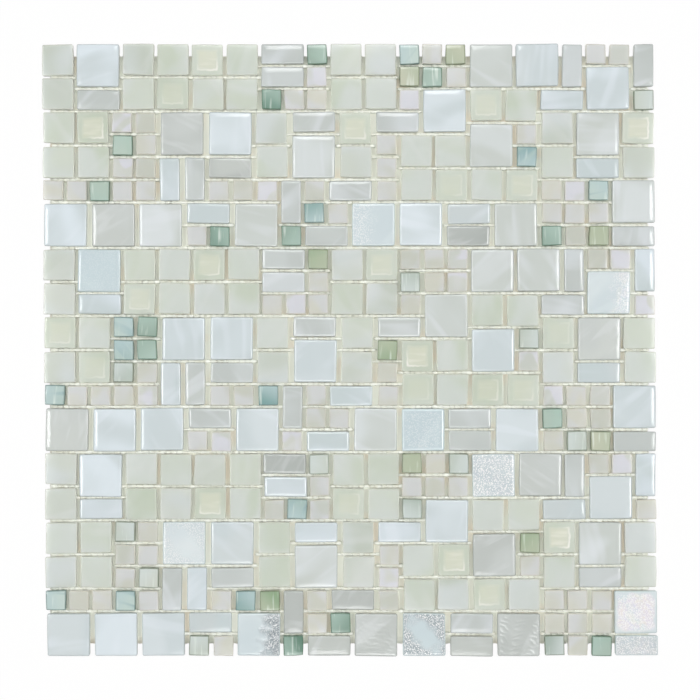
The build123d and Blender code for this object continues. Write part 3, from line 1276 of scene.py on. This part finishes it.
@dataclass
class Studio:
    """A white table with soft lights round it and a camera straight above, in metres."""

    table_side: float = 6.0
    table: str = "#fafaf8"
    table_white_share: float = 0.95   # how far the table shows as plain white, and the rest keeps the shadow
    sky: str = "#ffffff"
    sky_front: float = 0.1            # strength of the sky below the sheet in the picture
    sky_back: float = 0.16            # and above it
    # A ring of lights high round the camera, which reaches into the joints, and two low ones for the rims
    lights: tuple[SoftBox, ...] = (
        SoftBox("ring_left", (-0.8, 0.0, 1.7), 0.6, 0.4, 8.9),
        SoftBox("ring_right", (0.8, 0.0, 1.7), 0.6, 0.4, 8.9),
        SoftBox("ring_back", (0.0, 0.8, 1.7), 0.4, 0.6, 5.7),
        SoftBox("ring_front", (0.0, -0.8, 1.7), 0.4, 0.6, 5.1),
        SoftBox("side_left", (-1.1, 0.1, 0.5), 0.4, 0.9, 2.3),
        SoftBox("side_right", (1.1, 0.1, 0.5), 0.4, 0.9, 2.3),
    )
    camera_height: float = 0.9
    frame_width: float = 0.3415       # of the table that the picture takes in
    sensor_mm: float = 36.0

    def build_table(self) -> None:
        """Lay the table, white to the camera and in reflections, with the sheet's shadow on it."""
        half = self.table_side / 2
        corners = [(-half, -half, 0), (half, -half, 0), (half, half, 0), (-half, half, 0)]
        mesh = bpy.data.meshes.new("table")
        mesh.from_pydata(corners, [], [(0, 1, 2, 3)])
        table = bpy.data.objects.new("table", mesh)
        bpy.context.scene.collection.objects.link(table)
        material, tree = new_material("white_paper_on_a_table")
        paper = add_node(tree, "BsdfDiffuse", {"Color": linear(self.table)})
        white = add_node(tree, "Emission", {"Color": linear(self.sky), "Strength": 1.0})
        share = add_node(tree, "Math", {0: self.seen(tree), 1: self.table_white_share}, operation="MULTIPLY")
        mixed = add_node(tree, "MixShader", {0: share, 1: paper, 2: white})
        add_node(tree, "OutputMaterial", {0: mixed})
        mesh.materials.append(material)

    def seen(self, tree: Tree) -> Node:
        """Tell the rays that show the background from those that light the object.

        Args:
            tree: the node tree of the table or the world.

        Returns:
            One for rays from the camera, off gloss and through glass, and nothing for the rest.
        """
        path = add_node(tree, "LightPath").outputs
        first = add_node(tree, "Math", {0: path["Is Camera Ray"], 1: path["Is Glossy Ray"]},
                         operation="MAXIMUM")
        return add_node(tree, "Math", {0: first, 1: path["Is Transmission Ray"]}, operation="MAXIMUM")

    def build_sky(self) -> None:
        """Hang a sky that is brighter at the back, and shows as white where nothing stands before it."""
        world = bpy.data.worlds.new("studio")
        bpy.context.scene.world = world
        world.use_nodes = True
        tree = world.node_tree
        tree.nodes.clear()
        heading = add_node(tree, "TexCoord").outputs["Generated"]
        back = add_node(tree, "SeparateXYZ", {0: heading}).outputs[1]
        level = add_node(tree, "MapRange", {0: back, 1: -1.0, 2: 1.0, 3: self.sky_front, 4: self.sky_back})
        strength = add_node(tree, "MapRange", {0: self.seen(tree), 3: level, 4: 1.0})
        sky = add_node(tree, "Background", {"Color": linear(self.sky), "Strength": strength})
        add_node(tree, "OutputWorld", {0: sky})

    def build_camera(self) -> None:
        """Hang the camera straight above the sheet, with the top of the sheet at the top of the picture."""
        camera = bpy.data.cameras.new("camera")
        face = cad_box[1][2]
        camera.sensor_width = self.sensor_mm
        camera.lens = self.sensor_mm * (self.camera_height - face) / self.frame_width
        stand = bpy.data.objects.new("camera", camera)
        stand.location = Vector((0.0, 0.0, self.camera_height))
        bpy.context.scene.collection.objects.link(stand)
        bpy.context.scene.camera = stand

    def build(self) -> None:
        """Build the studio round the sheet."""
        self.build_table()
        self.build_sky()
        for light in self.lights:
            light.hang()
        self.build_camera()
        bpy.context.scene.view_settings.view_transform = "Standard"


# How each dewdrop tessera is grained, from the top of the sheet down
DEWDROP_SQUARES = (
    Grain(Relief.LEFT, 0.6),
    Grain(Relief.ALL, 0.15, drop_depth=0.04),
    Grain(Relief.RIGHT, 0.8, film=0.2),
    Grain(Relief.MIDDLE, 0.35, drop_depth=0.06),
    Grain(Relief.ALL, 1.0, silver=0.2, film=0.05),
    Grain(Relief.BORDER, 0.6, silver=0.12),
    Grain(Relief.MIDDLE, 1.0, film=0.45),
    Grain(Relief.RIGHT, 0.7, silver=0.85, drop_depth=0.14, hammer_depth=0.16),
    Grain(Relief.BORDER, 1.0, silver=0.65),
)
DEWDROP_BARS = (
    Grain(Relief.ALL, 0.8, silver=0.3, film=0.12, drop_depth=0.08, hammer_depth=0.1, hammer_turn=80),
)
# The last two of the smoke squares are from a sheet that was rolled on a worn plate
SMOKE_SQUARES = (Grain(),) * 6 + (
    Grain(drop_depth=0.0, hammer_depth=0.03, hammer_turn=70),
    Grain(drop_depth=0.0, hammer_depth=0.1, hammer_turn=80),
)

SHEET = (
    GlassTesserae(Format.LARGE, "white", WHITE_OPAL, 1),
    GlassTesserae(Format.LARGE, "pearl", PEARL_OPAL, 2),
    GlassTesserae(Format.LARGE, "smoke", SMOKE_OPAL, 3, SMOKE_SQUARES),
    GlassTesserae(Format.LARGE, "dewdrop", DEWDROP_OPAL, 4, DEWDROP_SQUARES, lots="mdpdpppmd", hammer_mm=1.4),
    GlassTesserae(Format.BAR, "white", WHITE_BARS, 5),
    GlassTesserae(Format.BAR, "pearl", PEARL_BARS, 6),
    GlassTesserae(Format.BAR, "smoke", SMOKE_BARS, 7),
    GlassTesserae(Format.BAR, "dewdrop", DEWDROP_OPAL, 8, DEWDROP_BARS, hammer_mm=1.4),
    GlassTesserae(Format.MEDIUM, "celadon", CELADON, 9),
    GlassTesserae(Format.MEDIUM, "ivory", IVORY, 10),
    GlassTesserae(Format.MEDIUM, "cream", CREAM, 11),
    GlassTesserae(Format.SMALL, "ivory", SMALL_IVORY, 12),
    GlassTesserae(Format.SMALL, "rose", ROSE, 13),
    GlassTesserae(Format.SMALL, "sea_green", SEA_GREEN, 14, lots="mpdpmdmmmmmddm"),
    GlassTesserae(Format.SMALL, "aqua", AQUA, 15, lots="pmpdpmmddppd"),
    GlassTesserae(Format.SMALL, "olive", OLIVE, 16, lots="ppmddpmdd"),
    GlassTesserae(Format.SMALL, "clear", CLEAR, 17, lots="pdmdmpmdmpmd"),
)


def main() -> None:
    """Build the sheet and the studio round it."""
    logging.basicConfig(level=logging.INFO, format="%(message)s")
    for tesserae in SHEET:
        tesserae.build()
    BackingNet([tessera for tesserae in SHEET for tessera in read_tesserae(tesserae.node)]).build()
    Studio().build()


if __name__ == "__main__":
    main()
